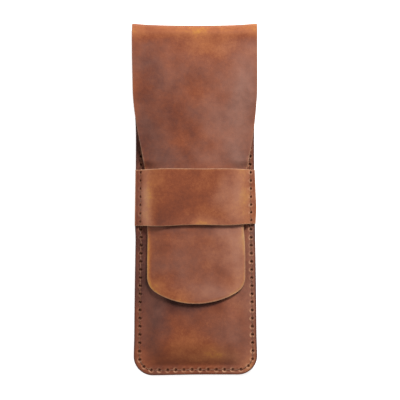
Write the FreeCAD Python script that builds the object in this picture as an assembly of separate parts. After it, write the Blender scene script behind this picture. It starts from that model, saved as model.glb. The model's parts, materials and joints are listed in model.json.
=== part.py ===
"""Slim leather pen case: a moulded pocket with a fold-over flap whose tongue tucks under a sewn band.

Millimetres. The case lies on its back: +X is its width, +Y points to the fold at its top end and
+Z is the way its front faces. The origin is the middle of the footprint, on the resting plane.
"""

import FreeCAD, Part
import os
from math import acos, asin, cos, hypot, pi, sin, sqrt

V = FreeCAD.Vector
os.makedirs("parts", exist_ok=True)

# ---- driving dimensions ----
LENGTH = 170.0  # fold to bottom edge
LEATHER = 1.6  # thickness of every leather piece
WAIST_HALF = 28.65  # half the width of the body at its narrowest
BOTTOM_HALF = 29.85
FOLD_HALF = 30.0
CORNER_R = 9.2
FOLD_R = 4.2  # middle of the leather, where the blank turns over
MOUTH_Y = 63.5  # top edge of the front panel
SKIN = 0.03  # glue line between sewn layers
SLIDE = 0.20  # room for the tongue, above and below it
ARCH_FOOT = 25.2  # half width of the moulded bulge
ARCH_RUN = 12.0  # width of the bulge's shoulder, each side
BOTTOM_RUN = 16.0  # length of the bulge's shoulder at the bottom end
BAND_TOP, BAND_BOTTOM = 15.3, -12.2
BAND_FLARE = 0.3  # how far the band's ends stand past the body
FLAP_STRETCHES = 7  # rigid lengths of the flap between its bend lines
TONGUE_HINGE_Y = 17.5
TONGUE_TIP_Y = -50.3
TONGUE_FLARE = 0.6
TONGUE_CORNER_R, TONGUE_TIP_R = 8.2, 42.0
BEND_GAP = 1.0  # from a bend line to the flat end of the next length
STITCH, STITCH_INSET, FIRST_STITCH_Y = 4.0, 2.4, 61.2
HOLE_R, THREAD_R, THREAD_SIDE, THREAD_BEND = 0.75, 0.30, 0.33, 0.5
GROOVE_HALF, GROOVE_FRONT, GROOVE_BACK = 0.97, 0.42, 0.66

# ---- derived levels ----
HALF = LENGTH / 2
HALF_T = LEATHER / 2
FOLD_Y = HALF - FOLD_R - HALF_T  # centre line of the fold
FLANGE_Z = 2 * LEATHER + SKIN  # top of the front panel round its edge
FLAP_Z = HALF_T + 2 * FOLD_R  # middle of the flap's thickness
FLAP_UNDER = FLAP_Z - HALF_T
BULGE = FLAP_UNDER - SLIDE - FLANGE_Z
BAND_Z = FLANGE_Z + SKIN  # underside of the band's sewn ends
WIDE = 34.0
STRETCH = (FOLD_Y - TONGUE_HINGE_Y) / FLAP_STRETCHES
BEND_Y = [FOLD_Y - STRETCH * i for i in range(FLAP_STRETCHES + 1)]


def clamp(u):
    return min(1.0, max(0.0, u))


def ease(u):
    u = clamp(u)
    return u * u * (3 - 2 * u)


def swell(u):
    return 0.5 - 0.5 * cos(pi * clamp(u))


def body_half(y):
    """Half width of the body: waisted in the middle, wider at the fold and at the bottom."""
    low = (BOTTOM_HALF - WAIST_HALF) * ease((29.5 - y) / 100)
    high = (FOLD_HALF - WAIST_HALF) * ease((y - 29.5) / 34)
    return WAIST_HALF + low + high


def flap_half(y):
    """Half width of the flap, from the fold down to the tongue."""
    return FOLD_HALF - 7.2 * ease((55 - y) / 56) + TONGUE_FLARE * ease((-5 - y) / 25)


def arch(x):
    """Rise of the moulded bulge above its sewn edge."""
    return BULGE * swell((ARCH_FOOT - abs(x)) / ARCH_RUN)


def arch_slope(x):
    return (arch(x + 1e-3) - arch(x - 1e-3)) / 2e-3


def spline(points):
    curve = Part.BSplineCurve()
    curve.interpolate([V(*p) for p in points])
    return curve.toShape()


def line(a, b):
    return Part.makeLine(V(*a), V(*b))


def arc(a, b, c):
    return Part.Arc(V(*a), V(*b), V(*c)).toShape()


def face(edges):
    return Part.Face(Part.Wire(Part.__sortEdges__(edges)))


def side(half, y0, y1, sign, n=24):
    ys = [y0 + (y1 - y0) * i / n for i in range(n + 1)]
    return spline([(sign * half(y), y, 0) for y in ys])


def outline(top, inset=0.0):
    """The body's outline up to y = top, drawn in by inset."""

    def half(y):
        return body_half(y) - inset

    r, low = CORNER_R - inset, -HALF + inset
    turn = -HALF + CORNER_R
    w = half(turn)
    k = r * (1 - sqrt(0.5))
    edges = [side(half, turn, top, s) for s in (1, -1)]
    for s in (1, -1):
        edges.append(arc((s * w, turn, 0), (s * (w - k), low + k, 0), (s * (w - r), low, 0)))
    edges.append(line((-(w - r), low, 0), (w - r, low, 0)))
    edges.append(line((-half(top), top, 0), (half(top), top, 0)))
    return face(edges)


def slab(flat, z0, z1):
    flat = flat.copy()
    flat.translate(V(0, 0, z0))
    return flat.extrude(V(0, 0, z1 - z0))


def box(x0, x1, y0, y1, z0, z1):
    return Part.makeBox(x1 - x0, y1 - y0, z1 - z0, V(x0, y0, z0))


def across(edges, half=WIDE):
    """A profile drawn at x = 0 in the YZ plane, run across the case."""
    flat = face(edges)
    flat.translate(V(-half, 0, 0))
    return flat.extrude(V(2 * half, 0, 0))


def strip(y_start, y_end, z_mid, down=True):
    """A flat length of leather: square at y_start, rounded about the bend line at y_end."""
    s = -1 if down else 1
    lo, hi = z_mid - HALF_T, z_mid + HALF_T
    return across(
        [
            line((0, y_start, hi), (0, y_end, hi)),
            arc((0, y_end, hi), (0, y_end + s * HALF_T, z_mid), (0, y_end, lo)),
            line((0, y_end, lo), (0, y_start, lo)),
            line((0, y_start, lo), (0, y_start, hi)),
        ]
    )


def curl(start, end, gap):
    """A quarter of the fold, from one angle to another about its centre line."""
    centre = (FOLD_Y, HALF_T + FOLD_R)
    inner, outer = FOLD_R - HALF_T, FOLD_R + HALF_T
    start += 2 * asin(gap / 2 / FOLD_R)
    mid = (start + end) / 2

    def at(r, a, along=0.0):
        y, z = centre[0] + r * cos(a), centre[1] + r * sin(a)
        return (0, y - along * sin(a), z + along * cos(a))

    return across(
        [
            arc(at(outer, start), at(outer, mid), at(outer, end)),
            arc(at(outer, end), at(FOLD_R, end, HALF_T), at(inner, end)),
            arc(at(inner, end), at(inner, mid), at(inner, start)),
            line(at(inner, start), at(outer, start)),
        ],
        FOLD_HALF,
    )


def skin_solid(height, x_half, y0, y1, nx, ny, thick):
    """A sheet whose one face is z = height(x, y); thick is its thickness along the normal."""

    def normal(x, y):
        e = 1e-3
        dx = (height(x + e, y) - height(x - e, y)) / (2 * e)
        dy = (height(x, y + e) - height(x, y - e)) / (2 * e)
        n = V(-dx, -dy, 1)
        return n.normalize()

    near, far = [], []
    for i in range(nx + 1):
        x = -x_half + 2 * x_half * i / nx
        a, b = [], []
        for j in range(ny + 1):
            y = y0 + (y1 - y0) * j / ny
            p = V(x, y, height(x, y))
            n = normal(x, y)
            q = p + n * thick
            if j in (0, ny):
                q = V(q.x, y, q.z)
            a.append(p)
            b.append(q)
        near.append(a)
        far.append(b)
    faces = []
    for grid in (near, far):
        surface = Part.BSplineSurface()
        surface.interpolate(grid)
        faces.append(surface.toShape())
    rims = []
    for k in range(4):
        a, b = [next(e for e in f.Edges if edge_on(e, k, x_half, y0, y1)) for f in faces]
        rims.append(Part.makeRuledSurface(a, b))
    shell = Part.makeShell(faces + rims)
    shell.sewShape()
    solid = Part.makeSolid(shell)
    if solid.Volume < 0:
        solid.reverse()
    return solid


def edge_on(edge, k, x_half, y0, y1):
    """Whether an edge runs along one of a sheet's four sides."""
    first, run = edge.FirstParameter, edge.LastParameter - edge.FirstParameter
    ends = [edge.valueAt(first + run * u) for u in (0, 0.37, 1)]
    if k < 2:
        return all(abs(p.y - (y0, y1)[k]) < 0.01 for p in ends)
    return all(abs(p.x - (-x_half, x_half)[k - 2]) < 0.01 for p in ends)


def seam_points():
    """Stitch holes at an even spacing: down the right side, round the bottom, up the left side."""
    turn, r = -HALF + CORNER_R, CORNER_R - STITCH_INSET
    w = body_half(turn) - STITCH_INSET
    right = []
    n = 400
    for i in range(n + 1):
        y = FIRST_STITCH_Y + (turn - FIRST_STITCH_Y) * i / n
        right.append((body_half(y) - STITCH_INSET, y))
    for i in range(1, 41):
        a = pi / 2 * i / 40
        right.append((w - r + r * cos(a), turn - r * sin(a)))
    path = right + [(-x, y) for x, y in reversed(right)]
    run = [0.0]
    for (x0, y0), (x1, y1) in zip(path, path[1:]):
        run.append(run[-1] + hypot(x1 - x0, y1 - y0))
    count = 2 * round(run[-1] / STITCH / 2)
    points, k = [], 0
    for i in range(count + 1):
        s = run[-1] * i / count
        while k < len(run) - 2 and run[k + 1] < s:
            k += 1
        u = (s - run[k]) / (run[k + 1] - run[k])
        (x0, y0), (x1, y1) = path[k], path[k + 1]
        d = V(x1 - x0, y1 - y0, 0).normalize()
        points.append((V(x0 + u * (x1 - x0), y0 + u * (y1 - y0), 0), V(-d.y, d.x, 0)))
    return points


def staple(p, q, z_mid, z_run):
    """One stitch of thread: a run between two holes with a leg down each."""
    up = V(0, 0, 1 if z_run > z_mid else -1)
    a = V(p.x, p.y, z_mid)
    b = V(p.x, p.y, z_run) - up * THREAD_BEND
    g = V(q.x, q.y, z_mid)
    f = V(q.x, q.y, z_run) - up * THREAD_BEND
    d = (f - b).normalize()
    c, e = b + d * THREAD_BEND + up * THREAD_BEND, f - d * THREAD_BEND + up * THREAD_BEND
    k = THREAD_BEND * sqrt(0.5)
    m = b + d * (THREAD_BEND - k) + up * k
    n = f - d * (THREAD_BEND - k) + up * k
    path = [
        Part.makeLine(a, b),
        Part.Arc(b, m, c).toShape(),
        Part.makeLine(c, e),
        Part.Arc(e, n, f).toShape(),
        Part.makeLine(f, g),
    ]
    ring = Part.Wire([Part.makeCircle(THREAD_R, a, V(0, 0, 1))])
    return Part.Wire(path).makePipeShell([ring], True, False)


def save(name, shape):
    print(name, "solids", len(shape.Solids), "valid", shape.isValid(), "mm3", round(shape.Volume, 1))
    shape.exportStep("parts/" + name + ".step")


# ---- stitch holes and grooves ----
seam = seam_points()
holes = Part.makeCompound(
    [Part.makeCylinder(HOLE_R, 40, V(p.x, p.y, -10)) for p, n in seam]
)
groove = outline(FIRST_STITCH_Y + 1, STITCH_INSET - GROOVE_HALF).cut(
    outline(FIRST_STITCH_Y + 2, STITCH_INSET + GROOVE_HALF)
)

# ---- back panel, and the flap it turns into ----
back = slab(outline(FOLD_Y + 2), -1, 4).common(strip(-HALF - 1, FOLD_Y, HALF_T, down=False))
back = back.cut(slab(groove, -2, GROOVE_BACK)).cut(holes)
save("back_panel", back)

save("fold_lower", curl(-pi / 2, 0, BEND_GAP))
save("fold_upper", curl(0, pi / 2, BEND_GAP))

turn_y = TONGUE_TIP_Y + TONGUE_TIP_R
tongue_half = flap_half(-45)
corner = V(tongue_half - TONGUE_CORNER_R, 0, 0)
corner.y = turn_y - sqrt((TONGUE_TIP_R - TONGUE_CORNER_R) ** 2 - corner.x**2)
touch = V(corner.x, corner.y - turn_y, 0) * (TONGUE_TIP_R / (TONGUE_TIP_R - TONGUE_CORNER_R))
touch.y += turn_y
half_turn = acos(-(corner.y - turn_y) / (TONGUE_TIP_R - TONGUE_CORNER_R)) / 2
bulge_out = V(corner.x + TONGUE_CORNER_R * cos(half_turn), corner.y - TONGUE_CORNER_R * sin(half_turn))
tongue_edges = [side(flap_half, corner.y, FOLD_Y + 4, s, 40) for s in (1, -1)]
for s in (1, -1):
    tongue_edges.append(
        arc((s * tongue_half, corner.y, 0), (s * bulge_out.x, bulge_out.y, 0), (s * touch.x, touch.y, 0))
    )
tongue_edges.append(
    arc((-touch.x, touch.y, 0), (0, TONGUE_TIP_Y, 0), (touch.x, touch.y, 0))
)
tongue_edges.append(line((-FOLD_HALF, FOLD_Y + 4, 0), (FOLD_HALF, FOLD_Y + 4, 0)))
flap_slab = slab(face(tongue_edges), -5, 20)

DROOP_FROM, DROOP_TO = BEND_Y[-3], BEND_Y[-1]


def flap_under(x, y):
    """The flap's underside: flat near the fold, arched over the bulge at the tongue."""
    return FLAP_UNDER - (BULGE - arch(x)) * ease((DROOP_FROM - y) / (DROOP_FROM - DROOP_TO))


for i in range(FLAP_STRETCHES):
    top, low = BEND_Y[i], BEND_Y[i + 1]
    if low > DROOP_FROM - 1:
        piece = strip(top - BEND_GAP, low, FLAP_Z)
    else:
        piece = skin_solid(flap_under, 32, low - 3, top + 1, 40, 16, LEATHER)
        piece = piece.common(box(-WIDE, WIDE, low, top - BEND_GAP, 0, 20))
        flat_half = ARCH_FOOT - ARCH_RUN - 0.4
        r, at = HALF_T - 0.01, V(-flat_half, low, FLAP_Z)
        knuckle = Part.makeCylinder(r, 2 * flat_half, at, V(1, 0, 0))
        knuckle = knuckle.common(box(-WIDE, WIDE, low - 2, low, 0, 20))
        piece = piece.fuse(knuckle)
    save("flap_stretch_" + str(i + 1), piece.common(flap_slab))


def across_curve(level, x1, n=48):
    xs = [x1 * (2 * i / n - 1) for i in range(n + 1)]
    return spline([(x, 0, level(x)) for x in xs]), (x1, level(x1))


def along(edges, y0, y1):
    flat = face(edges)
    flat.translate(V(0, y0, 0))
    return flat.extrude(V(0, y1 - y0, 0))


def tongue_under(x):
    return FLAP_UNDER - BULGE + arch(x)


def over(x, gap):
    """Height of a surface that lies gap above the tongue's underside, along the normal."""
    return tongue_under(x) + gap * sqrt(1 + arch_slope(x) ** 2)


x1 = ARCH_FOOT - 0.2
under, a = across_curve(tongue_under, x1)
upper, b = across_curve(lambda x: over(x, LEATHER), x1)
tongue = along(
    [under, upper] + [line((s * a[0], 0, a[1]), (s * b[0], 0, b[1])) for s in (1, -1)],
    TONGUE_TIP_Y - 2,
    TONGUE_HINGE_Y - BEND_GAP,
)
save("flap_tongue", tongue.common(flap_slab))


# ---- front panel ----
def panel_top(x, y):
    return FLANGE_Z + arch(x) * swell((y + HALF - 4.6) / BOTTOM_RUN)


panel = skin_solid(panel_top, 32, -HALF - 2, MOUTH_Y, 42, 50, -LEATHER)
panel = panel.common(slab(outline(MOUTH_Y + 1), 0, 20))
panel = panel.cut(slab(groove, FLANGE_Z - GROOVE_FRONT, 20)).cut(holes)
save("front_panel", panel)

# ---- band over the tongue ----
WALL_IN, FOOT_IN, WALL_OUT, FOOT_OUT = 24.5, 25.9, 24.9, 27.0
inner, a = across_curve(lambda x: over(x, LEATHER + SLIDE), WALL_IN)
outer, b = across_curve(lambda x: over(x, 2 * LEATHER + SLIDE), WALL_OUT)
rim = [inner, outer]
for s in (1, -1):
    rim.append(line((s * a[0], 0, a[1]), (s * FOOT_IN, 0, BAND_Z)))
    rim.append(line((s * FOOT_IN, 0, BAND_Z), (s * WIDE, 0, BAND_Z)))
    rim.append(line((s * b[0], 0, b[1]), (s * FOOT_OUT, 0, BAND_Z + LEATHER)))
    rim.append(line((s * FOOT_OUT, 0, BAND_Z + LEATHER), (s * WIDE, 0, BAND_Z + LEATHER)))
    rim.append(line((s * WIDE, 0, BAND_Z), (s * WIDE, 0, BAND_Z + LEATHER)))
band = along(rim, BAND_BOTTOM, BAND_TOP)
band = band.common(slab(outline(BAND_TOP + 5, -BAND_FLARE), 0, 20))
band = band.cut(slab(groove, BAND_Z + LEATHER - GROOVE_FRONT, 20)).cut(holes)
save("keeper_band", band)

# ---- saddle stitching: two threads that change sides at every hole ----
low_run = THREAD_R + 0.02
panel_run = FLANGE_Z - GROOVE_FRONT + THREAD_R + 0.02
band_run = BAND_Z + LEATHER - GROOVE_FRONT + THREAD_R + 0.02
threads = {"thread_left": [], "thread_bottom": [], "thread_right": []}
for i, ((p, n), (q, m)) in enumerate(zip(seam, seam[1:])):
    banded = [BAND_BOTTOM < v.y < BAND_TOP for v in (p, q)]
    middle = (p + q) * 0.5
    if middle.y < -HALF + CORNER_R:
        where = "thread_bottom"
    else:
        where = "thread_right" if middle.x > 0 else "thread_left"
    for thread in (0, 1):
        shift = THREAD_SIDE * (1 - 2 * thread)
        if (i + thread) % 2:
            level = low_run
        elif banded[0] != banded[1]:
            continue
        else:
            level = band_run if banded[0] else panel_run
        threads[where].append(staple(p + n * shift, q + m * shift, LEATHER, level))
for name, stitches in threads.items():
    save(name, Part.makeCompound(stitches))
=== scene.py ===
"""A slim leather pen case with a tuck flap, seen from straight above.

Lengths are in mm, apart from the floor, the lights and the camera at the end, which are in metres.
x is across the case, y along it with the fold at the top, and z up from the surface that it lies on."""

import json
import math

import bmesh
import bpy
import numpy as np
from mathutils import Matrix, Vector
from mathutils.geometry import delaunay_2d_cdt


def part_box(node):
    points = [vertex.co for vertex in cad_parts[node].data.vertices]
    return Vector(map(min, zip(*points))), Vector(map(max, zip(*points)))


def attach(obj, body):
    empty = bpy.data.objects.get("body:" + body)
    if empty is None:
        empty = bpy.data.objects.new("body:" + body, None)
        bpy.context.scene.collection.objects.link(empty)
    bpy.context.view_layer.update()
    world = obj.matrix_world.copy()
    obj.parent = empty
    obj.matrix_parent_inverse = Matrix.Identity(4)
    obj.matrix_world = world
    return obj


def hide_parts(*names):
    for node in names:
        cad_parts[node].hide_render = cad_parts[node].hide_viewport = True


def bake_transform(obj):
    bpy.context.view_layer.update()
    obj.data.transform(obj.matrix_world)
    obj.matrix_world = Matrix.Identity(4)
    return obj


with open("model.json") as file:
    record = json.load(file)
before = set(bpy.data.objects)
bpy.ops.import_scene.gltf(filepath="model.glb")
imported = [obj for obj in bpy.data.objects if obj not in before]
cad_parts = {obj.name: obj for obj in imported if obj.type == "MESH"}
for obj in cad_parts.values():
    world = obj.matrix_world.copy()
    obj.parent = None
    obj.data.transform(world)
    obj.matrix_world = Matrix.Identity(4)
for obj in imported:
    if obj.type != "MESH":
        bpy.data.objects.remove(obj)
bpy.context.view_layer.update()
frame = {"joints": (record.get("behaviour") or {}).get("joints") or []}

MM = 0.001

# ---- sizes that come from the CAD model ----
back_low, back_high = (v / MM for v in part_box("back_panel"))
front_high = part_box("front_panel")[1] / MM
tongue_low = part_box("flap_tongue")[0] / MM
hinges = {j["name"]: j["pos_m"] for j in frame["joints"]}

T = back_high.z  # thickness of the leather
HALF = -back_low.y  # half the case's length
FOLD_Y = hinges["fold_start_bend"][1] / MM  # where the back starts to turn over
R = HALF - FOLD_Y - T / 2  # radius of the fold, at the middle of the leather
ARC = math.pi * R  # length of leather in the fold
FLAP_Z = T / 2 + 2 * R  # height of the flap, at the middle of the leather
SEAM_GAP = 0.03
FLANGE = 2 * T + SEAM_GAP  # height of the sewn edge
BULGE = front_high.z - FLANGE  # how far the front panel is moulded out
MOUTH = front_high.y  # the front panel's upper edge
TIP_Y = tongue_low.y
HINGE_Y = hinges["tongue_bend"][1] / MM
STRETCHES = sum(name.startswith("flap_bend") for name in hinges) + 1
STRETCH = (FOLD_Y - HINGE_Y) / STRETCHES  # length of flap between two hinges

# ---- sizes of the looks ----
TOP_HALF = 30.0  # half the width at the fold
WAIST_HALF, WAIST_Y = 28.65, 29.5  # half the width at the waist, and where the waist is
FOOT, RUN, END_RUN = 25.2, 12.0, 12.5  # the bulge: where its sides end, and how long its slopes are
GAP = 0.2  # between the tongue and the band
BAND_TOP, BAND_LOW = 14.8, -12.2
TIP_R, TIP_CORNER = 36.5, 8.6  # radii of the tongue's tip and of its corners
CORNER = 9.2  # radius of the case's lower corners
INSET, PITCH, FIRST_HOLE = 2.4, 3.96, 60.7  # the stitching
SEAM_SHIFT = 0.3  # both side seams lie this far to the right
HOLE_R, RIM_R = 0.56, 1.02  # radii of a stitch hole and of the leather pushed up round it
THREAD_R, PLY_TURN = 0.29, 1.7  # the thread's radius, and the length of one turn of its plies
THREAD_SUNK, BACK_THREAD_Z = 0.2, 0.37  # how deep it lies at the front, and its height at the back
BLANK_ROUND, FRONT_ROUND, BAND_ROUND = 0.38, 0.5, 0.35  # how far in the cut edges are rounded
LINE_STEP, GRID_STEP, ROW_STEP = 0.3, 1.0, 0.4  # how far apart a mesh's points are
SLIVER = 0.06  # width of the last row beside a cut between slices

# Insets of the lines that follow a cut edge: close together at the rounded edge and at the stitches.
INSETS = np.concatenate(
    [[0, 0.05, 0.13, 0.24, 0.38], np.arange(0.55, 3.0, 0.17), [3.25, 3.7, 4.3, 5.0]]
)
INSIDE = 6.0  # depth given to all points further in
ACROSS = np.linspace(-1, 1, 49)[1:-1]
PLAIN = 5.0  # length of plain rows between a rounded end and a hinge


def ease(u):
    """0 up to u = 0, 1 from u = 1, and smooth in between."""
    u = np.clip(u, 0, 1)
    return u * u * (3 - 2 * u)


def swell(u):
    """Like ease, but as part of a cosine wave."""
    return 0.5 - 0.5 * np.cos(np.pi * np.clip(u, 0, 1))


def bump(u):
    """1 at u = 0, falling smoothly to 0 by about u = 2."""
    return np.exp(-(u**2))


rng = np.random.default_rng(11)
WAVES = [(rng.normal(size=2), rng.uniform(0, 6.28)) for _ in range(60)]


def mottle(x, y, size, first=0, count=12):
    """Smooth noise, about -1 to 1, in patches of that size."""
    total = np.zeros(np.broadcast(x, y).shape)
    for k in range(first, first + count):
        (a, b), phase = WAVES[k % len(WAVES)]
        total += np.sin((x * a + y * b) * 2.6 / size + phase)
    return total / math.sqrt(count) * 0.9


# ---- shape of the case ----
def body_half(y):
    """Half the width of the back and the front: narrowest at the waist, and wider above than below."""
    above = (TOP_HALF - WAIST_HALF) * ease((y - WAIST_Y) / 34)
    return WAIST_HALF + 1.2 * ease((WAIST_Y - y) / 100) + above


def flap_half(y):
    """Half the width of the flap, which tapers to the tongue."""
    return TOP_HALF - 7.2 * ease((55 - y) / 56) + 0.6 * ease((-5 - y) / 25)


def arch(x, run=RUN):
    """How far the bulge stands out, across the case."""
    return BULGE * swell((FOOT - np.abs(x)) / run)


def panel_top(x, y):
    """Height of the front panel's face. Near the foot its sides are steeper and it is a little slack."""
    fuller = 3.5 * ease((-50 - y) / 10)
    rise = np.clip((y + HALF - 4.6) / END_RUN, 0, 1) ** 0.65
    z = FLANGE + arch(x, RUN - fuller) * swell(rise)
    slack = ease((26 - np.abs(x)) / 4) * ease((-48 - y) / 8) * ease((y + 78) / 5)
    return z - 0.22 * slack * (0.5 + 0.5 * mottle(x, y, 34, 3))


def flap_middle(x, y):
    """Middle of the flap's leather: flat at the fold, slightly arched on its way down, and pressed
    close over the bulge by the band."""
    down = 0.55 * ease((56 - y) / 36) + 0.45 * ease((19.5 - y) / 4.5)
    crown = 0.5 * (1 - down) * ease((FOLD_Y - y) / 20) * (1 - (x / TOP_HALF) ** 2)
    wave = 0.14 * mottle(x, y, 30, 20) * ease((y - 17) / 12) * ease((FOLD_Y - y) / 12)
    curl = 0.5 * ease((-36 - y) / 14) * (1 - (x / TOP_HALF) ** 2)
    return FLAP_Z - down * (BULGE - arch(x)) + crown + wave + curl


def over_arch(x, gap):
    """Height of a surface that keeps that far above the tongue's underside, where the band presses it."""
    steep = (arch(x + 0.01) - arch(x - 0.01)) / 0.02
    return FLAP_Z - T / 2 - BULGE + arch(x) + gap * np.sqrt(1 + steep**2)


def band_middle(x, y):
    """Middle of the band's leather: over the tongue, then down to the sewn edge at both ends."""
    low = FLANGE + SEAM_GAP + T / 2
    high = over_arch(np.minimum(np.abs(x), 24.5), 1.5 * T + GAP)
    rise = ease(np.where(x > 0, (26.8 - x) / 2.0, (26.6 + x) / 2.8))
    return low + (high - low) * rise


def uneven(x, y):
    """A hand-cut case isn't quite even: its left side and its foot stand out a little further."""
    left, right = ease((-x - 8) / 16), ease((x - 8) / 16)
    dx = -0.42 * left * (ease((y + 20) / 9) + ease((y - 48) / 30))
    dx += (0.3 * right - 0.25 * left) * bump((y + 77) / 8)
    dy = -ease((-60 - y) / 22) * (0.15 + 0.4 * ease((5 - x) / 30))
    return x + dx, y + dy


def slope(height, x, y, dx=0.01, dy=0.0):
    """How steeply a surface rises, across the case unless a step along it is given instead."""
    rise = height(x + dx, y + dy) - height(x - dx, y - dy)
    return rise / (2 * math.hypot(dx, dy))


def to_blank(y):
    """From a place down the flap to a place along the blank, and back again."""
    return 2 * FOLD_Y + ARC - y


def blank_half(s):
    """Half the blank's width."""
    if s <= FOLD_Y:
        return body_half(s)
    return flap_half(min(FOLD_Y, to_blank(s)))


# ---- flat patterns ----
class Pattern:
    """One side of a flat piece of leather: points (x, s), how far each is from the cut edge, and faces.
    last is the line of points across the piece where more rows can be added."""

    def __init__(self, points, depth, faces, last=()):
        self.points, self.depth, self.faces, self.last = points, depth, faces, list(last)

    def boundary(self):
        edges = {}
        for face in self.faces:
            for a, b in zip(face, face[1:] + face[:1]):
                key = (min(a, b), max(a, b))
                edges[key] = edges.get(key, 0) + 1
        return [e for e, uses in edges.items() if uses == 1]


def quads(grid):
    """Faces between points, whose numbers are given row by row."""
    corners = [grid[:-1, :-1], grid[:-1, 1:], grid[1:, 1:], grid[1:, :-1]]
    return np.stack(corners, -1).reshape(-1, 4).tolist()


def across(half):
    """The x places of a row, left to right, for a piece that wide."""
    edge = half - INSETS
    return np.concatenate([-edge, edge[-1] * ACROSS, edge[::-1]])


ROW_DEPTH = np.concatenate([INSETS, np.full(len(ACROSS), INSIDE), INSETS[::-1]])


def sliver_rows(start, end):
    """Even steps from start to end, with a very narrow one at the end."""
    sign = 1 if end > start else -1
    count = max(2, round(abs(end - start) / ROW_STEP))
    return list(np.linspace(start, end - sign * SLIVER, count)[1:]) + [end]


def add_rows(pattern, places):
    """Adds rows across the piece at those places along the blank."""
    width = len(ROW_DEPTH)
    first = len(pattern.points)
    rows = [np.stack([across(blank_half(s)), np.full(width, s)], 1) for s in places]
    pattern.points = np.concatenate([pattern.points, *rows])
    pattern.depth = np.concatenate([pattern.depth] + [ROW_DEPTH] * len(places))
    ids = np.concatenate([pattern.last, first + np.arange(width * len(places))])
    grid = ids.astype(int).reshape(-1, width)
    pattern.faces += quads(grid)
    pattern.last = grid[-1].tolist()
    return pattern


def strip(places):
    """A piece between two straight cuts across the blank."""
    width = len(ROW_DEPTH)
    row = np.stack([across(blank_half(places[0])), np.full(width, places[0])], 1)
    pattern = Pattern(row, ROW_DEPTH.copy(), [], range(width))
    return add_rows(pattern, places[1:])


def rounded_end(line, top, half):
    """A piece with a rounded lower end, cut straight across at the top. line(inset) goes round it."""
    lines = [line(d) for d in INSETS]
    size = len(lines[0])
    points = np.concatenate(lines)
    depth = np.repeat(INSETS, size)
    faces = quads(np.arange(len(points)).reshape(-1, size))
    chord = np.stack([(half - INSETS[-1]) * ACROSS, np.full(len(ACROSS), top)], 1)
    loop = np.concatenate([lines[-1], chord])
    inner, triangles = filled(loop)
    ids = [(len(lines) - 1) * size + i for i in range(size)]
    ids += [len(points) + i for i in range(len(inner) - size)]
    points = np.concatenate([points, inner[size:]])
    depth = np.concatenate([depth, np.full(len(inner) - size, INSIDE)])
    faces += [[ids[v] for v in t] for t in triangles]
    left = [i * size + size - 1 for i in range(len(lines))]
    right = [i * size for i in reversed(range(len(lines)))]
    middle = ids[size : size + len(ACROSS)]
    return Pattern(points, depth, faces, left + middle + right)


def filled(loop):
    """The loop's points then a grid of points inside it, and triangles over them all."""
    low, high = loop.min(0), loop.max(0)
    gx = np.arange(low[0] + GRID_STEP, high[0] - 0.4 * GRID_STEP, GRID_STEP)
    gy = np.arange(low[1] + 0.8 * GRID_STEP, high[1] - 0.5 * GRID_STEP, GRID_STEP)
    grid = np.stack(np.meshgrid(gx - gx.mean(), gy), -1).reshape(-1, 2)
    a, b = loop, np.roll(loop, -1, 0)
    rise = np.where(b[:, 1] == a[:, 1], 1e-9, b[:, 1] - a[:, 1])
    keep = []
    for g in grid:
        crosses = (a[:, 1] > g[1]) != (b[:, 1] > g[1])
        at = a[:, 0] + (g[1] - a[:, 1]) * (b[:, 0] - a[:, 0]) / rise
        inside = np.count_nonzero(crosses & (g[0] < at)) % 2
        clear = np.hypot(*(loop - g).T).min() > 0.55 * GRID_STEP
        keep.append(bool(inside and clear))
    points = [Vector(p) for p in np.concatenate([loop, grid[keep]])]
    out = delaunay_2d_cdt(points, [], [list(range(len(loop)))], 1, 1e-7)
    origin = {i: o[0] for i, o in enumerate(out[3])}
    triangles = [[origin[v] for v in f] for f in out[2]]
    return np.array([p[:] for p in points]), triangles


def half_line(parts):
    """Joins the right half of a line and its mirror image, from top right round to top left."""
    right = np.concatenate(parts)
    return np.concatenate([right, right[:-1][::-1] * [-1, 1]])


def side_places(top, low):
    """The y places of a line's points down a side."""
    count = round((top - low) / LINE_STEP)
    return np.concatenate([[top, top - SLIVER], np.linspace(top, low, count + 1)[1:]])


def body_line(top):
    """The case's outline below top, as line(inset)."""
    turn = -HALF + CORNER

    def line(inset):
        ys = side_places(top, turn)
        side = np.stack([body_half(ys) - inset, ys], 1)
        count = round(math.pi / 2 * CORNER / LINE_STEP)
        a = math.pi / 2 * np.arange(1, count + 1) / count
        r = CORNER - inset
        cx = body_half(turn) - CORNER
        corner = np.stack([cx + r * np.cos(a), turn - r * np.sin(a)], 1)
        count = round(cx / LINE_STEP)
        xs = cx * (1 - np.arange(1, count + 1) / count)
        return half_line([side, corner, np.stack([xs, np.full(count, -HALF + inset)], 1)])

    return line


def tongue_line(top):
    """The tongue's outline below top, as line(inset): straight sides, round corners and a wide arc."""
    turn = TIP_Y + TIP_R
    cx = flap_half(-45.0) - TIP_CORNER
    cy = turn - math.sqrt((TIP_R - TIP_CORNER) ** 2 - cx**2)
    meet = math.atan2(turn - cy, cx)

    def line(inset):
        ys = side_places(top, cy)
        side = np.stack([flap_half(ys) - inset, ys], 1)
        count = round(TIP_CORNER * meet / LINE_STEP)
        a = meet * np.arange(1, count + 1) / count
        r = TIP_CORNER - inset
        corner = np.stack([cx + r * np.cos(a), cy - r * np.sin(a)], 1)
        count = round(TIP_R * (math.pi / 2 - meet) / LINE_STEP)
        b = meet + (math.pi / 2 - meet) * np.arange(1, count + 1) / count
        r = TIP_R - inset
        tip = np.stack([r * np.cos(b), turn - r * np.sin(b)], 1)
        tip[-1, 0] = 0
        return half_line([side, corner, tip])

    return line


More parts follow.
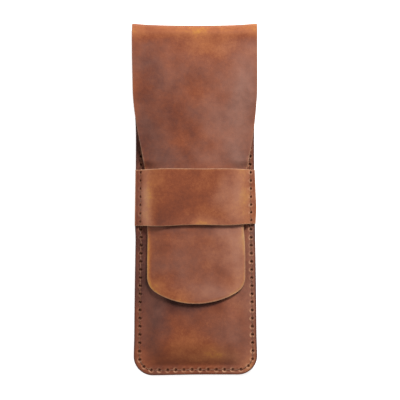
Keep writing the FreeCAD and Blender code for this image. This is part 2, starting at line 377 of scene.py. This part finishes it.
# ---- stitch holes ----
def seam_holes():
    """Hole places at an even spacing down the right side, round the bottom and up the left side."""
    turn, r = -HALF + CORNER, CORNER - INSET
    ys = np.linspace(FIRST_HOLE, turn, 600)
    side = np.stack([body_half(ys) - INSET, ys], 1)
    a = np.linspace(0, math.pi / 2, 80)[1:]
    cx = body_half(turn) - CORNER
    corner = np.stack([cx + r * np.cos(a), turn - r * np.sin(a)], 1)
    line = half_line([side, corner, [[0, -HALF + INSET]]])
    run = np.concatenate([[0], np.cumsum(np.hypot(*np.diff(line, axis=0).T))])
    count = round(run[-1] / PITCH)
    at = run[-1] * np.arange(count + 1) / count
    places = np.stack([np.interp(at, run, line[:, 0]), np.interp(at, run, line[:, 1])], 1)
    places[:, 0] += SEAM_SHIFT
    ahead = np.stack([np.interp(at + 0.1, run, line[:, i]) for i in (0, 1)], 1)
    behind = np.stack([np.interp(at - 0.1, run, line[:, i]) for i in (0, 1)], 1)
    way = ahead - behind
    way /= np.linalg.norm(way, axis=1)[:, None]
    return places, np.stack([way[:, 1], -way[:, 0]], 1)


HOLES, INWARD = seam_holes()


def from_hole(points):
    """Distance from the nearest hole."""
    r = np.full(len(points), 99.0)
    for hole in HOLES:
        r = np.minimum(r, np.hypot(points[:, 0] - hole[0], points[:, 1] - hole[1]))
    return r


def stitched(y):
    """1 beside the stitching, 0 above its first hole."""
    return ease((FIRST_HOLE + 1.5 - y) / 1.5)


def off_seam(points, depth):
    """Distance from the line that the stitches follow."""
    return depth - INSET + SEAM_SHIFT * np.clip(points[:, 0] / 20, -1, 1)


def sewn(points, depth):
    """How the stitches shape the leather: a pressed line, a hole at each stitch, soft hollows."""
    r = from_hole(points)
    line = -0.20 * bump(off_seam(points, depth) / 0.75)
    hole = -0.80 * bump((r / HOLE_R) ** 2) * (1 - 0.3 * ease((-74 - points[:, 1]) / 5))
    drawn = -0.14 * bump(r / 1.25) * ease(depth / 0.6)
    pushed = 0.20 * bump((r - RIM_R) / 0.36)
    crease = -0.08 * bump((depth - 4.6) / 0.5)
    return (line + hole + drawn + pushed + crease) * stitched(points[:, 1])


def painted_rim_glints(points):
    """Painted glints: leather pushed up round a stitch hole is painted pale on one side, as if lit, most
    of all at the right and foot.
    """
    x, y = points.T
    away = points[:, None] - HOLES
    near = np.argmin(np.hypot(*away.T).T, axis=1)
    dx, dy = away[np.arange(len(points)), near].T
    r = np.hypot(dx, dy)
    side = 0.55 - 0.45 * (dx + dy) / np.maximum(r, 0.2) / math.sqrt(2)
    strength = 0.2 + 0.7 * ease((x + 20) / 10) + 0.7 * ease((-72 - y) / 6)
    ring = bump((r - RIM_R) / 0.3) * stitched(y)
    varied = np.clip(0.8 + 0.6 * mottle(x, y, 3, 40), 0.3, 1.3)
    return np.minimum(strength, 1.1) * ring * side * varied


# ---- leather from a pattern ----
def add_object(name, data):
    obj = bpy.data.objects.new(name, data)
    bpy.context.scene.collection.objects.link(obj)
    return obj


def leather(name, pattern, place, rounding, relief, tint, bloom_and_sheen, cut, rim=None):
    """A closed sheet of leather. place(points, n) puts the pattern's points n above the sheet's middle,
    on the grain side. relief lowers or raises the grain side, tint lightens or darkens it, with painted
    shadows and highlights among its spots, bloom and sheen is where it is hazy or painted with sheen, cut
    where the cut edge shows and rim where painted glints lie round the stitch holes."""
    points, depth = pattern.points, pattern.depth
    count = len(points)
    raised = relief(points, depth) if relief else np.zeros(count)
    off = np.clip(rounding - depth, 0, rounding)
    drop = rounding - np.sqrt(rounding**2 - off**2)
    grain = place(points, T / 2 - drop + raised)
    flesh = place(points, -T / 2 + drop)
    faces = [list(f) for f in pattern.faces]
    faces += [[v + count for v in reversed(f)] for f in pattern.faces]
    faces += [[a, b, b + count, a + count] for a, b in pattern.boundary()]
    mesh = bpy.data.meshes.new(name)
    mesh.from_pydata((np.concatenate([grain, flesh]) * MM).tolist(), [], faces)
    turned = bmesh.new()
    turned.from_mesh(mesh)
    bmesh.ops.recalc_face_normals(turned, faces=turned.faces)
    turned.to_mesh(mesh)
    turned.free()
    side = np.concatenate([np.ones(count), -np.ones(count)])
    rest = np.column_stack([np.concatenate([points, points]), side * 3])
    mesh.attributes.new("rest", "FLOAT_VECTOR", "POINT")
    mesh.attributes["rest"].data.foreach_set("vector", rest.astype(np.float32).ravel())
    layers = {
        "raw": np.tile(cut(points, depth), 2),
        "tint": np.tile(tint(points, depth), 2),
        "bloom_and_sheen": np.tile(bloom_and_sheen(*points.T), 2),
        "rim": np.tile(rim(points) if rim else np.zeros(count), 2),
        # painted shade in the stitch holes and the other dents, darker the deeper the dent
        "pit_shade": np.concatenate([np.clip(-raised / 0.6 - 0.35, 0, 1), np.zeros(count)]),
        "grain": side,
    }
    for key, values in layers.items():
        layer = mesh.attributes.new(key, "FLOAT", "POINT")
        layer.data.foreach_set("value", values.astype(np.float32))
    mesh.polygons.foreach_set("use_smooth", np.ones(len(mesh.polygons), bool))
    mesh.set_sharp_from_angle(angle=math.radians(50))
    return add_object(name, mesh)


def panel_place(points, n):
    """The front panel's middle is half a thickness below its face."""
    x, y = points.T
    gx, gy = slope(panel_top, x, y), slope(panel_top, x, y, 0, 0.01)
    px, py = uneven(x, y)
    z = panel_top(px, y) + (n - T / 2) * np.sqrt(1 + gx**2 + gy**2)
    return np.column_stack([px, py, z])


def blank_place(points, n):
    """Back panel, fold and flap are one piece. s runs up the back, round the fold and down the flap. The
    fold dips in the middle, and the flap's right edge stands out from halfway down."""
    x, s = points.T
    turn = np.clip(s - FOLD_Y, 0, ARC) / R - math.pi / 2
    hollow = 0.975 + 0.21 * (np.abs(x) / TOP_HALF) ** 2.9
    y = np.where(s < FOLD_Y, s, FOLD_Y + (R + n) * np.cos(turn) * hollow)
    z = np.where(s < FOLD_Y, T / 2 - n, T / 2 + R + (R + n) * np.sin(turn))
    flap_y = to_blank(s)
    on_flap = s > FOLD_Y + ARC
    above = ease((50 - flap_y) / 26) * ease((flap_y + 4) / 16)
    below = 0.45 * ease(-flap_y / 10) + 0.35 * ease((-13 - flap_y) / 8)
    wider = (0.9 * above + below) * ease(x / 22)
    px, py = uneven(np.where(on_flap, x + wider, x), np.where(on_flap, flap_y, y))
    gx = slope(flap_middle, px, flap_y)
    steep = np.sqrt(1 + gx**2)
    z = np.where(on_flap, flap_middle(px, flap_y) + n / steep, z)
    return np.column_stack([np.where(on_flap, px - n * gx / steep, px), py, z])


def band_place(points, n):
    """The band's upper edge is bowed up, and its lower edge is higher at the right than at the left."""
    x, y = points.T
    gx = slope(band_middle, x, y)
    steep = np.sqrt(1 + gx**2)
    upper, lower = ease((y - 2) / 12), ease((1 - y) / 12)
    bowed = 0.5 * (1 - (x / 28) ** 2) * upper
    bowed += 0.5 * (ease((x - 14) / 12) - ease((-5 - x) / 14)) * lower
    wave = 0.12 * np.sin((x + 6) / 5) * (lower - upper)
    px, py = uneven(x - n * gx / steep, y)
    return np.column_stack([px, py + bowed + wave, band_middle(x, y) + n / steep])


# ---- lighter and darker spots: where the wax has pulled away or soaked in, mixed with painted shadows and highlights ----
def patches(spots):
    """Soft spots (x, y, reach across, reach along, strength) with wandering outlines."""

    def tint(x, y):
        total = np.zeros(len(x))
        for cx, cy, rx, ry, strength in spots:
            wander = 1 + 0.25 * mottle(x + cx, y - cx, 9, 7)
            total += strength * bump(np.hypot((x - cx) / rx, (y - cy) / ry) * wander)
        return total

    return tint


flap_wax_and_light_spots = patches(
    [
        (1, 73, 12, 7, 0.12),
        (20, 24, 5, 6, -0.25),
        (14, 74, 12, 6, 0.4),
        (-24, 79, 9, 3, 0.25),
        (10, 60, 9, 8, -0.1),
        (-7, 60, 9, 10, -0.12),
        (-21, 64, 8, 11, -0.42),
        (-25, 48, 4, 12, -0.2),
        (-12, 44, 10, 7, -0.25),
        (-20, 30, 11, 13, -0.5),
        (4, 40, 14, 6, -0.2),
        (25, 52, 5, 15, -0.15),
        # painted shadow just above the band's upper edge
        (0, 19, 24, 5, -0.2),
        # painted light: the tongue's right side lighter, as if lit from the right
        (20, -20, 8, 14, 0.5),
        (23, -15, 3, 14, 0.3),
        # painted shadow on the tongue below the band's lower edge
        (0, -13, 40, 1.3, -0.4),
        (-22.5, -28, 1.6, 13, 0.5),
        (-18, -41, 4, 3, 0.4),
        (-9, -31, 9, 5, -0.15),
        (19, -40, 6, 5, 0.4),
        (-8, -46, 12, 3, 0.3),
        # painted shadow on the tongue below the band's lower edge
        (0, -15.5, 22, 2, -0.25),
        (19, 48, 8, 26, -0.16),
    ]
)
panel_wax_and_light_spots = patches(
    [
        # painted light on the bulge's lower slope, which faces away from the key light
        (-7, -70, 10, 7, 0.4),
        (12, -74, 10, 4, 0.4),
        (0, -76.5, 22, 3, 0.25),
        (27, -78, 3, 8, 0.5),
        (17, -56, 5, 8, 0.15),
        # painted shade on the bulge's left side, which faces away from the key light
        (-19, -58, 6, 16, -0.3),
        (-18, -40, 5, 20, -0.3),
        # painted shadow beside the flap's left edge
        (-25, 20, 5, 30, -0.3),
        (-27.5, 24, 2.2, 9, -0.5),
        # painted highlights on the rounded lower corners
        (24, -81, 4, 3, 0.35),
        (-25, -80, 4, 4, 0.3),
        # painted shadow beside the tongue's left edge
        (-26, -32, 3.5, 22, -0.7),
        (28, -16, 1.5, 6, -0.6),
    ]
)
band_wax_and_light_spots = patches(
    [
        # painted highlights on the band's rises at both ends, and painted shade in the crease at its left
        # end
        (-22.3, 0, 3.4, 15, 0.65),
        (-27.6, 0, 1.6, 16, -0.4),
        (23.4, 3, 4.0, 14, 0.6),
        (15, 6, 9, 9, 0.3),
        (-17, 8, 6, 8, 0.1),
        (-12, -4, 6, 9, -0.1),
        (3, -11, 7, 1.6, 0.45),
    ]
)

# ---- where the wax has bloomed to a pale haze, and where sheen is painted on ----
# haze of bloomed wax, mixed with painted sheen down the flap's right side and the tongue's right side
flap_bloom_and_sheen = patches(
    [
        (24, 55, 7, 40, 0.5),
        (14, 36, 8, 14, 0.35),
        (20, -17, 9, 26, 0.65),
        (5, -45, 10, 5, 0.5),
        (-8, -25, 12, 10, 0.1),
        (-17, 24, 8, 9, 0.1),
        (22, 62, 9, 20, 0.16),
        (19, -27, 7, 14, 0.2),
        (13, 23, 6, 8, 0.2),
    ]
)
# painted sheen down the panel's right side and on the band's raised ends, with some haze
panel_bloom_and_sheen = patches([(27, -35, 5, 60, 0.35), (18, -64, 7, 20, 0.35), (-21, -56, 6, 26, 0.15)])
band_bloom_and_sheen = patches([(-23.6, 1, 2.6, 14, 0.7), (21, 3, 8, 14, 0.6), (4, -11, 16, 3, 0.2)])


def handled(s):
    """0 at the fold, 1 on the tongue, whose edges are rubbed pale by handling."""
    return ease((s - to_blank(30)) / 20)


def blank_tint(points, depth):
    """The bend at the fold turns orange, and the flap is mottled, with painted shadows and highlights
    among the patches, and a lighter rim on the tongue.
    """
    x, s = points.T
    fold = 0.46 * bump(((s - FOLD_Y - 0.6 * ARC) / 6.1) ** 2)
    rim = (0.05 + 0.35 * handled(s)) * (1 - ease(depth / 2.2))
    return fold + rim + flap_wax_and_light_spots(x, to_blank(s)) * ease((s - FOLD_Y - ARC / 2) / 4)


def blank_bloom_and_sheen(x, s):
    return flap_bloom_and_sheen(x, to_blank(s)) * ease((s - FOLD_Y - ARC) / 6)


def blank_cut(points, depth):
    return bump(depth / 0.4) * (0.3 + 0.7 * handled(points[:, 1]))


def panel_tint(points, depth):
    """Mottled, with painted shade among the patches and a painted shadow on the panel just below the
    tongue's tip.
    """
    x, y = points.T
    past_tip = np.hypot(x, y - TIP_Y - TIP_R) - TIP_R
    reach = 1.3 + 2.4 * ease((8 - x) / 14)
    # painted shadow cast by the tongue's tip, darkest just past its edge
    tip_shadow = bump((past_tip - 0.6) / reach) * ease((17 - np.abs(x)) / 7) * (y < TIP_Y + 12)
    return panel_wax_and_light_spots(x, y) - 0.75 * tip_shadow


def panel_cut(points, depth):
    return bump(depth / 0.6)


def band_tint(points, depth):
    return band_wax_and_light_spots(*points.T) + 0.13 * (1 - ease(depth / 1.3))


def band_cut(points, depth):
    return bump(depth / 0.3)


# ---- leather pieces ----
def back_relief(points, depth):
    """As at the front, with the thread's line pressed in until the stitches lie flush."""
    sunk = -0.45 * bump((off_seam(points, depth) / 0.6) ** 2) * stitched(points[:, 1])
    return np.maximum(sewn(points, depth) + sunk, -1.1) * (points[:, 1] < MOUTH)


def tongue_relief(points, depth):
    """Pressed a little lower along the cut edge."""
    return -0.12 * (1 - ease((depth - 0.6) / 0.8))


def make_blank():
    """The back, the fold, the flap and the tongue, in slices that each take in one hinge."""
    plain_top = FOLD_Y - PLAIN
    low_cut, high_cut = FOLD_Y + ARC / 4, FOLD_Y + 3 * ARC / 4
    back = rounded_end(body_line(plain_top), plain_top, body_half(plain_top))
    add_rows(back, sliver_rows(plain_top, low_cut))
    slices = [("back_leather", back, back_relief)]
    cuts = [low_cut, high_cut] + [to_blank(FOLD_Y - STRETCH * (k + 0.5)) for k in range(STRETCHES)]
    for k, (start, end) in enumerate(zip(cuts, cuts[1:])):
        places = [start, start + SLIVER] + sliver_rows(start + SLIVER, end)
        name = "fold_leather" if k == 0 else f"flap_leather_{k}"
        slices.append((name, strip(places), None))
    plain_top = HINGE_Y - PLAIN
    tongue = rounded_end(tongue_line(plain_top), plain_top, flap_half(plain_top))
    tongue.points[:, 1] = to_blank(tongue.points[:, 1])
    add_rows(tongue, sliver_rows(to_blank(plain_top), cuts[-1]))
    slices.append(("tongue_leather", tongue, tongue_relief))
    looks = (blank_tint, blank_bloom_and_sheen, blank_cut)
    return [
        leather(name, pattern, blank_place, BLANK_ROUND, relief, *looks)
        for name, pattern, relief in slices
    ]


def make_front():
    pattern = rounded_end(body_line(MOUTH), MOUTH, body_half(MOUTH))
    looks = (panel_tint, panel_bloom_and_sheen, panel_cut, painted_rim_glints)
    return leather("front_leather", pattern, panel_place, FRONT_ROUND, sewn, *looks)


def make_band():
    """A grid that is closer at the cut edges and at the stitched ends."""
    edge = INSETS[INSETS < 1.3]
    inner = np.arange(BAND_LOW + edge[-1], BAND_TOP - edge[-1], 0.35)[1:-1]
    ys = np.concatenate([BAND_LOW + edge, inner, (BAND_TOP - edge)[::-1]])
    dy = np.minimum(ys - BAND_LOW, BAND_TOP - ys)
    rows, depth = [], []
    for y, d in zip(ys, dy):
        bulge = 0.3 * bump((y - 7) / 8) + 0.6 * bump((y + 4) / 7)
        x = across(body_half(y) + 0.1)
        x += bulge * ease((x - 22) / 6)
        rows.append(np.stack([x, np.full(len(x), y)], 1))
        depth.append(np.minimum(ROW_DEPTH, d))
    points = np.concatenate(rows)
    faces = quads(np.arange(len(points)).reshape(len(ys), -1))
    pattern = Pattern(points, np.concatenate(depth), faces)

    def relief(points, depth):
        x, y = points.T
        from_side = body_half(y) - np.abs(x)
        fainter = np.where(x < 0, 0.6, 1)
        return sewn(points, from_side) * (from_side < 5) * ease(depth / 0.8) * fainter

    looks = (band_tint, band_bloom_and_sheen, band_cut, painted_rim_glints)
    return leather("band_leather", pattern, band_place, BAND_ROUND, relief, *looks)


blank = make_blank()
front = make_front()
band = make_band()


# ---- thread ----
def seam_surface(p, front_side):
    """Height at which the thread rests on the leather at a point."""
    if not front_side:
        return BACK_THREAD_Z
    x, y = np.array([p[0]]), np.array([p[1]])
    if BAND_LOW < p[1] < BAND_TOP:
        return float(band_middle(x, y)[0]) + T / 2 - THREAD_SUNK
    return FLANGE - THREAD_SUNK


def plied(path, radius, sides=6):
    """Three plies twisted round a path."""
    path = np.array(path)
    run = np.concatenate([[0], np.cumsum(np.linalg.norm(np.diff(path, axis=0), axis=1))])
    way = np.gradient(path, axis=0)
    way /= np.linalg.norm(way, axis=1)[:, None]
    side = np.cross(way, [0.3, 0.2, 0.93])
    side /= np.linalg.norm(side, axis=1)[:, None]
    up = np.cross(side, way)
    verts, faces = [], []
    for ply in range(3):
        turn = run * 2 * math.pi / PLY_TURN + ply * 2 * math.pi / 3
        out = np.cos(turn)[:, None] * side + np.sin(turn)[:, None] * up
        middle = path + out * radius * 0.5
        first = len(verts)
        for m, s, u in zip(middle, side, up):
            for j in range(sides):
                a = 2 * math.pi * j / sides
                verts.append(m + radius * 0.56 * (math.cos(a) * s + math.sin(a) * u))
        for k in range(len(middle) - 1):
            for j in range(sides):
                a, b = first + k * sides + j, first + k * sides + (j + 1) % sides
                faces.append([a, b, b + sides, a + sides])
        end = first + (len(middle) - 1) * sides
        faces.append([first + j for j in reversed(range(sides))])
        faces.append([end + j for j in range(sides)])
    return verts, faces


def stitch_path(k, front_side):
    """The thread from hole k to the next, slightly slanted, going down into both."""
    a, b = HOLES[k], HOLES[k + 1]
    lean = 0.2 if front_side else -0.2
    a, b = a + INWARD[k] * lean, b - INWARD[k + 1] * lean
    path = []
    for u in np.linspace(0, 1, 15):
        p = a + (b - a) * (0.03 + 0.94 * u)
        dip = 1 - min(1, math.sin(math.pi * u) * 1.9)
        z = seam_surface(p, front_side)
        px, py = uneven(*p)
        path.append([px, py, z + 0.08 - 0.9 * dip if front_side else z + 0.8 * dip])
    return path


def make_thread(name, chosen):
    verts, faces = [], []
    for k in chosen:
        for front_side in (True, False):
            v, f = plied(stitch_path(k, front_side), THREAD_R)
            faces += [[i + len(verts) for i in face] for face in f]
            verts += v
    mesh = bpy.data.meshes.new(name)
    mesh.from_pydata((np.array(verts) * MM).tolist(), [], faces)
    mesh.polygons.foreach_set("use_smooth", np.ones(len(mesh.polygons), bool))
    return add_object(name, mesh)


runs = {"left": [], "bottom": [], "right": []}
for k in range(len(HOLES) - 1):
    x, y = (HOLES[k] + HOLES[k + 1]) / 2
    where = "bottom" if y < -HALF + CORNER else "right" if x > 0 else "left"
    runs[where].append(k)
threads = {side: make_thread(f"stitches_{side}", chosen) for side, chosen in runs.items()}


# ---- materials ----
class Nodes:
    """Shorthand for building a node tree."""

    def __init__(self, name):
        self.material = bpy.data.materials.new(name)
        self.material.use_nodes = True
        self.tree = self.material.node_tree
        self.shader = self.tree.nodes["Principled BSDF"]

    def put(self, socket, value):
        if isinstance(value, bpy.types.NodeSocket):
            self.tree.links.new(value, socket)
        else:
            socket.default_value = value

    def attribute(self, name, kind="Fac"):
        node = self.tree.nodes.new("ShaderNodeAttribute")
        node.attribute_name = name
        return node.outputs[kind]

    def math(self, operation, a, b=0.0, c=0.0, clamp=False):
        node = self.tree.nodes.new("ShaderNodeMath")
        node.operation, node.use_clamp = operation, clamp
        for socket, value in zip(node.inputs, (a, b, c)):
            self.put(socket, value)
        return node.outputs[0]

    def add(self, *terms):
        total = terms[0]
        for term in terms[1:]:
            total = self.math("ADD", total, term)
        return total

    def times(self, a, b):
        return self.math("MULTIPLY", a, b)

    def scaled(self, vector, scale, turn=0.0):
        node = self.tree.nodes.new("ShaderNodeMapping")
        self.put(node.inputs["Vector"], vector)
        node.inputs["Scale"].default_value = scale
        node.inputs["Rotation"].default_value = (0, 0, turn)
        return node.outputs[0]

    def noise(self, vector, scale, detail=2.0, rough=0.5):
        """Noise from -1 to 1."""
        node = self.tree.nodes.new("ShaderNodeTexNoise")
        self.put(node.inputs["Vector"], vector)
        node.inputs["Scale"].default_value = scale
        node.inputs["Detail"].default_value = detail
        node.inputs["Roughness"].default_value = rough
        return self.math("MULTIPLY_ADD", node.outputs[0], 2.0, -1.0)

    def cells(self, vector, scale, feature="F1"):
        """Distance from the nearest of the points scattered through space."""
        node = self.tree.nodes.new("ShaderNodeTexVoronoi")
        node.feature = feature
        self.put(node.inputs["Vector"], vector)
        node.inputs["Scale"].default_value = scale
        return node.outputs["Distance"]

    def ramp(self, value, stops):
        node = self.tree.nodes.new("ShaderNodeValToRGB")
        self.put(node.inputs[0], value)
        elements = node.color_ramp.elements
        while len(elements) < len(stops):
            elements.new(0.5)
        for element, (at, colour) in zip(elements, stops):
            element.position, element.color = at, (*colour, 1)
        return node.outputs[0]

    def between(self, value, low, high):
        """0 at low, 1 at high, and smooth in between."""
        node = self.tree.nodes.new("ShaderNodeMapRange")
        node.interpolation_type = "SMOOTHSTEP"
        self.put(node.inputs["Value"], value)
        node.inputs["From Min"].default_value = low
        node.inputs["From Max"].default_value = high
        return node.outputs[0]

    def mix(self, share, a, b):
        """Colour a, with that share of colour b."""
        node = self.tree.nodes.new("ShaderNodeMix")
        node.data_type = "RGBA"
        self.put(node.inputs[0], share)
        for socket, value in ((node.inputs[6], a), (node.inputs[7], b)):
            self.put(socket, value if isinstance(value, bpy.types.NodeSocket) else (*value, 1))
        return node.outputs[2]

    def bumped(self, height, distance):
        node = self.tree.nodes.new("ShaderNodeBump")
        self.put(node.inputs["Height"], height)
        node.inputs["Distance"].default_value = distance
        return node.outputs[0]


# The leather's colour from soaked with wax to pulled up.
PULL_UP = [
    (0.0, (0.045, 0.013, 0.010)),
    (0.25, (0.122, 0.035, 0.022)),
    (0.5, (0.236, 0.063, 0.027)),
    (0.7, (0.362, 0.117, 0.044)),
    (0.88, (0.505, 0.212, 0.040)),
    (1.0, (0.610, 0.315, 0.055)),
]
# pale haze of bloomed wax, also the colour of the painted sheen
HAZE_AND_SHEEN = (0.40, 0.225, 0.175)
# colour of the painted glints round the stitch holes
RIM_GLINT = (0.56, 0.285, 0.165)
# colour of the painted shade in the stitch holes and dents
HOLE_SHADE = (0.035, 0.010, 0.008)
CUT_EDGE = (0.64, 0.38, 0.23)
BURNISHED = (0.075, 0.030, 0.022)


def scratches(m, rest):
    """Fine marks in three directions, in some places only."""
    kept = m.between(m.noise(rest, 0.11, 2), 0.0, 0.5)
    marks = None
    for turn, close, long in ((0.3, 0.9, 0.05), (-0.5, 1.3, 0.07), (1.45, 1.1, 0.06)):
        lines = m.noise(m.scaled(rest, (close, long, 1), turn), 1.0, 2, 0.6)
        mark = m.times(m.between(lines, 0.42, 0.6), kept)
        marks = mark if marks is None else m.math("MAXIMUM", marks, mark)
    return marks


def haze_and_sheen_share(m, rest, medium, haze):
    """Share of the pale haze: thin all over, but not where the wax is pulled up, and thicker in bloom and
    where sheen is painted.
    """
    thin = m.times(m.between(m.noise(rest, 0.06, 3, 0.6), -0.5, 0.6), haze)
    thin = m.times(thin, m.between(m.attribute("tint"), 0.3, -0.1))
    patchy = m.math("MULTIPLY_ADD", medium, 0.6, 1.0)
    patchy_haze_and_sheen = m.times(m.times(m.attribute("bloom_and_sheen"), patchy), 0.55)
    return m.math("MINIMUM", m.add(thin, patchy_haze_and_sheen), 0.6)


def leather_material(name, shade, edge, haze=0.0, burnish=0.75):
    """Waxed pull-up leather: mottled, lighter where it is bent, with scratches and a fine grain, and with
    the painted shadows, highlights, sheen, glints and hole shade that its attributes carry. Higher shades
    are lighter, edge is the cut edge's colour, and burnish is how much of it shows."""
    m = Nodes(name)
    rest = m.attribute("rest", "Vector")
    wide = m.noise(rest, 0.05, 2, 0.5)
    medium = m.noise(rest, 0.17, 3, 0.5)
    small = m.noise(rest, 0.8, 4, 0.6)
    fine = m.noise(rest, 4.0, 3, 0.6)
    marks = scratches(m, rest)
    specks = m.times(m.between(m.cells(rest, 0.55), 0.16, 0.06), m.between(medium, -0.1, 0.3))
    tone = m.add(
        m.times(m.attribute("tint"), 0.46),
        m.times(wide, 0.16),
        m.times(medium, 0.17),
        m.times(small, 0.14),
        m.times(fine, 0.11),
        shade,
        m.times(marks, 0.12),
        m.times(specks, -0.14),
    )
    colour = m.mix(haze_and_sheen_share(m, rest, medium, haze), m.ramp(tone, PULL_UP), HAZE_AND_SHEEN)
    on_flesh = m.between(m.attribute("grain"), 0.2, -0.2)
    rough_side = m.ramp(
        m.math("MULTIPLY_ADD", m.noise(rest, 2.2, 5, 0.7), 0.3, 0.5),
        [(0.2, (0.17, 0.075, 0.038)), (0.8, (0.34, 0.165, 0.085))],
    )
    colour = m.mix(on_flesh, colour, rough_side)
    # painted glints round the stitch holes
    colour = m.mix(m.math("MINIMUM", m.attribute("rim"), 0.9), colour, RIM_GLINT)
    edge_colour = m.ramp(
        m.math("MULTIPLY_ADD", m.noise(rest, 1.4, 3, 0.6), 0.5, 0.5),
        [(0.2, tuple(0.45 * v for v in edge)), (0.8, edge)],
    )
    raw = m.times(m.attribute("raw"), m.math("MULTIPLY_ADD", medium, 0.25, burnish, True))
    colour = m.mix(raw, colour, edge_colour)
    # painted shade in the holes and dents
    colour = m.mix(m.times(m.attribute("pit_shade"), 0.85), colour, HOLE_SHADE)
    m.put(m.shader.inputs["Base Color"], colour)
    height = m.add(
        m.times(m.cells(rest, 2.6, "SMOOTH_F1"), 0.5),
        m.times(fine, 0.35),
        m.times(small, 0.8),
        m.times(marks, -0.5),
        m.times(on_flesh, fine),
    )
    m.put(m.shader.inputs["Normal"], m.bumped(height, 0.00005))
    rough = m.add(m.times(medium, 0.05), m.times(small, 0.05), m.times(marks, -0.05), 0.55)
    m.put(m.shader.inputs["Roughness"], m.add(rough, m.times(on_flesh, 0.3)))
    m.shader.inputs["Specular IOR Level"].default_value = 0.15
    m.shader.inputs["IOR"].default_value = 1.45
    return m.material


def thread_material():
    m = Nodes("waxed_thread")
    where = m.tree.nodes.new("ShaderNodeTexCoord").outputs["Object"]
    colour = m.ramp(
        m.math("MULTIPLY_ADD", m.noise(where, 900, 3, 0.6), 0.5, 0.5),
        [(0.2, (0.12, 0.042, 0.022)), (0.8, (0.30, 0.125, 0.062))],
    )
    m.put(m.shader.inputs["Base Color"], colour)
    m.put(m.shader.inputs["Normal"], m.bumped(m.noise(where, 5000, 2), 0.00002))
    m.shader.inputs["Roughness"].default_value = 0.42
    return m.material


def paint(obj, material):
    obj.data.materials.clear()
    obj.data.materials.append(material)


body_leather = leather_material("waxed_leather_body", 0.43, BURNISHED, 0.10, 0.85)
flap_leather = leather_material("waxed_leather_flap", 0.48, CUT_EDGE, 0.20)
strap_leather = leather_material("waxed_leather_band", 0.48, CUT_EDGE)
thread_finish = thread_material()

paint(blank[0], body_leather)
for piece in blank[1:]:
    paint(piece, flap_leather)
paint(front, body_leather)
paint(band, strap_leather)
for piece in threads.values():
    paint(piece, thread_finish)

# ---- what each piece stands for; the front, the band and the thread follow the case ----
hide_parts("front_panel")
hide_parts("keeper_band")
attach(front, "case")
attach(band, "case")
for side, piece in threads.items():
    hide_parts(f"thread_{side}")
    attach(piece, "case")

chain = ["case", "fold_lower", "fold_upper"]
chain += [f"stretch_{k + 1}" for k in range(STRETCHES)] + ["tongue"]
stood_for = ["back_panel", "fold_lower", "fold_upper"]
stood_for += [f"flap_stretch_{k + 1}" for k in range(STRETCHES)] + ["flap_tongue"]


def bend_zone(k):
    """Where slice k's bend between bodies k and k + 1 of the chain would start and end: the fold's slices
    would turn with the arc, and the flap's go from the middle of one stretch to the middle of the next.
    The loop below works these out but applies them to nothing."""
    middle, reach = T / 2 + R, 2.35
    turning = FOLD_Y + 1.9
    crest = FOLD_Y + 0.45 * R
    if k == 0:
        return (0, FOLD_Y - 2.5, T / 2), (0, turning, T / 2)
    if k == 1:
        return (0, crest, middle - reach), (0, crest, middle + reach)
    if k == 2:
        return (0, turning, FLAP_Z), (0, FOLD_Y - STRETCH / 2, FLAP_Z)
    start = FOLD_Y - STRETCH * (k - 2.5)
    return (0, start, FLAP_Z), (0, start - STRETCH, FLAP_Z)


for k, piece in enumerate(blank):
    start, end = bend_zone(k)
    Vector(start) * MM
    Vector(end) * MM
    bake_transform(piece)
    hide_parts(stood_for[k])
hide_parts(stood_for[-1])


# ---- floor, light and camera ----
def make_floor():
    bpy.ops.mesh.primitive_plane_add(size=6, location=(0, 0, -0.0002))
    floor = bpy.context.object
    floor.name = "floor"
    m = Nodes("pale_floor")
    m.shader.inputs["Base Color"].default_value = (0.9, 0.9, 0.9, 1)
    m.shader.inputs["Roughness"].default_value = 0.9
    m.shader.inputs["Emission Color"].default_value = (1, 1, 1, 1)
    m.shader.inputs["Emission Strength"].default_value = 0.75
    floor.data.materials.append(m.material)


def soft_light(name, place, size, power):
    """A round light that points at the middle of the case."""
    data = bpy.data.lights.new(name, "AREA")
    data.shape, data.size, data.energy = "DISK", size, power
    light = add_object(name, data)
    light.location = place
    light.rotation_euler = (-Vector(place)).to_track_quat("-Z", "Y").to_euler()


def make_camera():
    """Straight above; the case sits a little left of the frame's middle."""
    height, seen, aside = 0.9, 0.1937, 0.00223
    data = bpy.data.cameras.new("camera")
    data.sensor_width = 36
    data.lens = 36 * (height - FLAP_Z * MM) / seen
    camera = add_object("camera", data)
    camera.location = (aside, 0, height)
    bpy.context.scene.camera = camera


make_floor()
soft_light("key", (0.22, 0.48, 0.54), 0.22, 5.9)
soft_light("fill", (-0.50, 0.10, 0.60), 0.4, 1.2)
make_camera()
world = bpy.data.worlds.new("studio")
world.use_nodes = True
world.node_tree.nodes["Background"].inputs[0].default_value = (1, 1, 1, 1)
world.node_tree.nodes["Background"].inputs[1].default_value = 0.25
bpy.context.scene.world = world
bpy.context.scene.view_settings.view_transform = "Standard"
